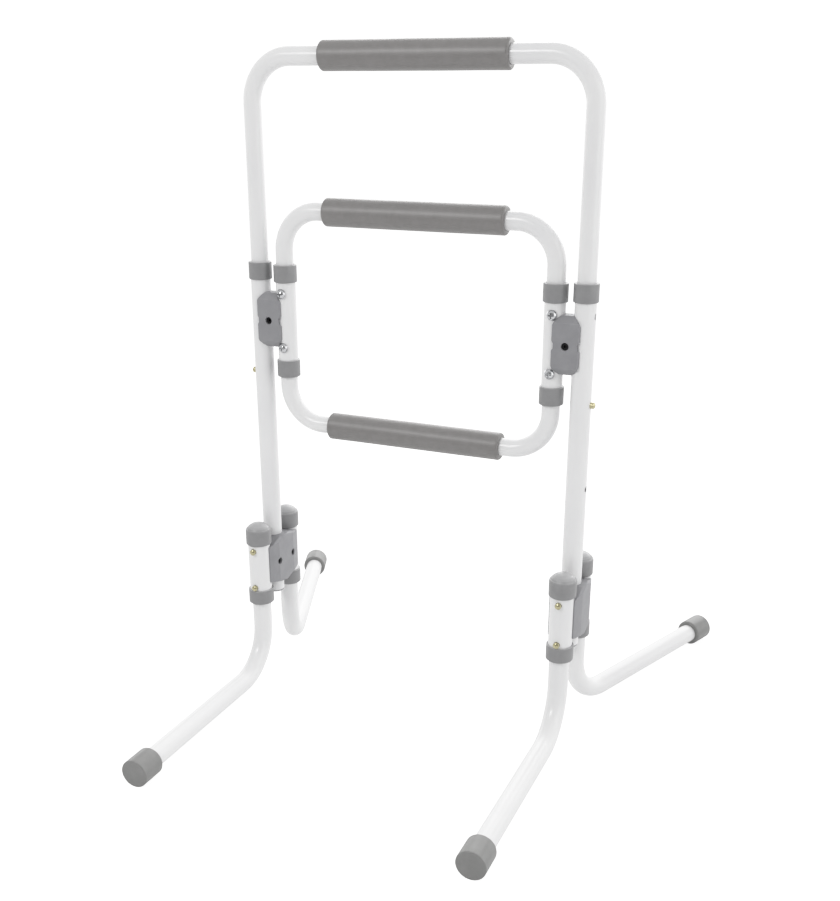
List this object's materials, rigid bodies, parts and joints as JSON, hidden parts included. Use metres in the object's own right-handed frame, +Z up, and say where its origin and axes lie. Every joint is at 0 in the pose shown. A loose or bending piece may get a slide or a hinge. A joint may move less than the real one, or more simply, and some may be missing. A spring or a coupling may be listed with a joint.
{
  "type": "couch standing aid",
  "caption": "Free-standing frame to push up from a couch: a height-adjustable upper handle, a middle grip loop with foam grips, and J-shaped legs with rubber tips.",
  "frame": {"origin": "on the floor, at the middle of the footprint", "axes": "+Z up, +X to the right seen from the side of the two straight front legs, +Y from those legs towards the splayed rear legs"},
  "size_m": [0.6976, 0.685, 0.8403],
  "materials": {
    "white_steel": "white powder coat on steel tube, satin gloss",
    "foam_grip": "mid-grey closed-cell foam rubber, fine matt skin",
    "clamp_plastic": "mid-grey moulded nylon, fine matt texture",
    "collar_plastic": "mid-grey moulded soft plastic, satin",
    "rubber_tip": "grey moulded rubber, matt",
    "zinc_button": "yellow-passivated zinc plate on steel",
    "brass_insert": "turned brass",
    "spring_steel": "bare spring steel strip",
    "chrome_screw": "bright nickel plate",
    "black_bolt": "black oxide"
  },
  "bodies": {
    "frame": {"post_left": "white_steel", "post_right": "white_steel", "post_collars": "collar_plastic", "post_end_caps": "collar_plastic", "loop_upper_tube": "white_steel", "loop_lower_tube": "white_steel", "loop_upper_grip": "foam_grip", "loop_lower_grip": "foam_grip", "loop_sleeve_left": "white_steel", "loop_sleeve_right": "white_steel", "loop_upper_collars": "collar_plastic", "loop_lower_collars": "collar_plastic", "loop_screws": "chrome_screw", "loop_clamp_front_left": "clamp_plastic", "loop_clamp_front_right": "clamp_plastic", "loop_clamp_back_left": "clamp_plastic", "loop_clamp_back_right": "clamp_plastic", "loop_clamp_bolts": "black_bolt", "loop_clamp_inserts": "brass_insert", "leg_clamp_inner_left": "clamp_plastic", "leg_clamp_inner_right": "clamp_plastic", "leg_clamp_outer_left": "clamp_plastic", "leg_clamp_outer_right": "clamp_plastic", "leg_clamp_bolts": "black_bolt", "leg_clamp_inserts": "brass_insert", "leg_sleeve_front_left": "white_steel", "leg_sleeve_front_right": "white_steel", "leg_sleeve_rear_left": "white_steel", "leg_sleeve_rear_right": "white_steel", "leg_caps": "collar_plastic", "leg_collars": "collar_plastic", "leg_front_left": "white_steel", "leg_front_right": "white_steel", "leg_rear_left": "white_steel", "leg_rear_right": "white_steel", "tip_front_left": "rubber_tip", "tip_front_right": "rubber_tip", "tip_rear_left": "rubber_tip", "tip_rear_right": "rubber_tip", "leg_springs_front_left": "spring_steel", "leg_springs_front_right": "spring_steel", "leg_springs_rear_left": "spring_steel", "leg_springs_rear_right": "spring_steel"},
    "handle": {"handle_tube": "white_steel", "handle_grip": "foam_grip", "height_spring_left": "spring_steel", "height_spring_right": "spring_steel"},
    "height_button_left": {"height_button_left": "zinc_button"},
    "height_button_right": {"height_button_right": "zinc_button"},
    "leg_button_front_left_upper": {"leg_button_front_left_upper": "zinc_button"},
    "leg_button_front_left_lower": {"leg_button_front_left_lower": "zinc_button"},
    "leg_button_front_right_upper": {"leg_button_front_right_upper": "zinc_button"},
    "leg_button_front_right_lower": {"leg_button_front_right_lower": "zinc_button"},
    "leg_button_rear_left_upper": {"leg_button_rear_left_upper": "zinc_button"},
    "leg_button_rear_left_lower": {"leg_button_rear_left_lower": "zinc_button"},
    "leg_button_rear_right_upper": {"leg_button_rear_right_upper": "zinc_button"},
    "leg_button_rear_right_lower": {"leg_button_rear_right_lower": "zinc_button"}
  },
  "joints": [
    {"name": "handle_height", "type": "slide", "parent": "frame", "child": "handle", "axis": [0, 0, 1], "range_m": [-0.105, 0.105], "deforming": ["height_button_left", "height_button_right"]},
    {"name": "height_button_left_press", "type": "slide", "parent": "handle", "child": "height_button_left", "axis": [1, 0, 0], "range_m": [0, 0.0071], "stiffness_N_per_m": 900, "deforming": ["height_spring_left"]},
    {"name": "height_button_right_press", "type": "slide", "parent": "handle", "child": "height_button_right", "axis": [-1, 0, 0], "range_m": [0, 0.0071], "stiffness_N_per_m": 900, "deforming": ["height_spring_right"]},
    {"name": "leg_button_front_left_upper_press", "type": "slide", "parent": "frame", "child": "leg_button_front_left_upper", "axis": [0, 1, 0], "range_m": [0, 0.0071], "stiffness_N_per_m": 900, "deforming": ["leg_springs_front_left"]},
    {"name": "leg_button_front_left_lower_press", "type": "slide", "parent": "frame", "child": "leg_button_front_left_lower", "axis": [0, 1, 0], "range_m": [0, 0.0071], "stiffness_N_per_m": 900, "deforming": ["leg_springs_front_left"]},
    {"name": "leg_button_front_right_upper_press", "type": "slide", "parent": "frame", "child": "leg_button_front_right_upper", "axis": [0, 1, 0], "range_m": [0, 0.0071], "stiffness_N_per_m": 900, "deforming": ["leg_springs_front_right"]},
    {"name": "leg_button_front_right_lower_press", "type": "slide", "parent": "frame", "child": "leg_button_front_right_lower", "axis": [0, 1, 0], "range_m": [0, 0.0071], "stiffness_N_per_m": 900, "deforming": ["leg_springs_front_right"]},
    {"name": "leg_button_rear_left_upper_press", "type": "slide", "parent": "frame", "child": "leg_button_rear_left_upper", "axis": [0.3665, -0.9304, 0], "range_m": [0, 0.0071], "stiffness_N_per_m": 900, "deforming": ["leg_springs_rear_left"]},
    {"name": "leg_button_rear_left_lower_press", "type": "slide", "parent": "frame", "child": "leg_button_rear_left_lower", "axis": [0.3665, -0.9304, 0], "range_m": [0, 0.0071], "stiffness_N_per_m": 900, "deforming": ["leg_springs_rear_left"]},
    {"name": "leg_button_rear_right_upper_press", "type": "slide", "parent": "frame", "child": "leg_button_rear_right_upper", "axis": [-0.3665, -0.9304, 0], "range_m": [0, 0.0071], "stiffness_N_per_m": 900, "deforming": ["leg_springs_rear_right"]},
    {"name": "leg_button_rear_right_lower_press", "type": "slide", "parent": "frame", "child": "leg_button_rear_right_lower", "axis": [-0.3665, -0.9304, 0], "range_m": [0, 0.0071], "stiffness_N_per_m": 900, "deforming": ["leg_springs_rear_right"]}
  ]
}
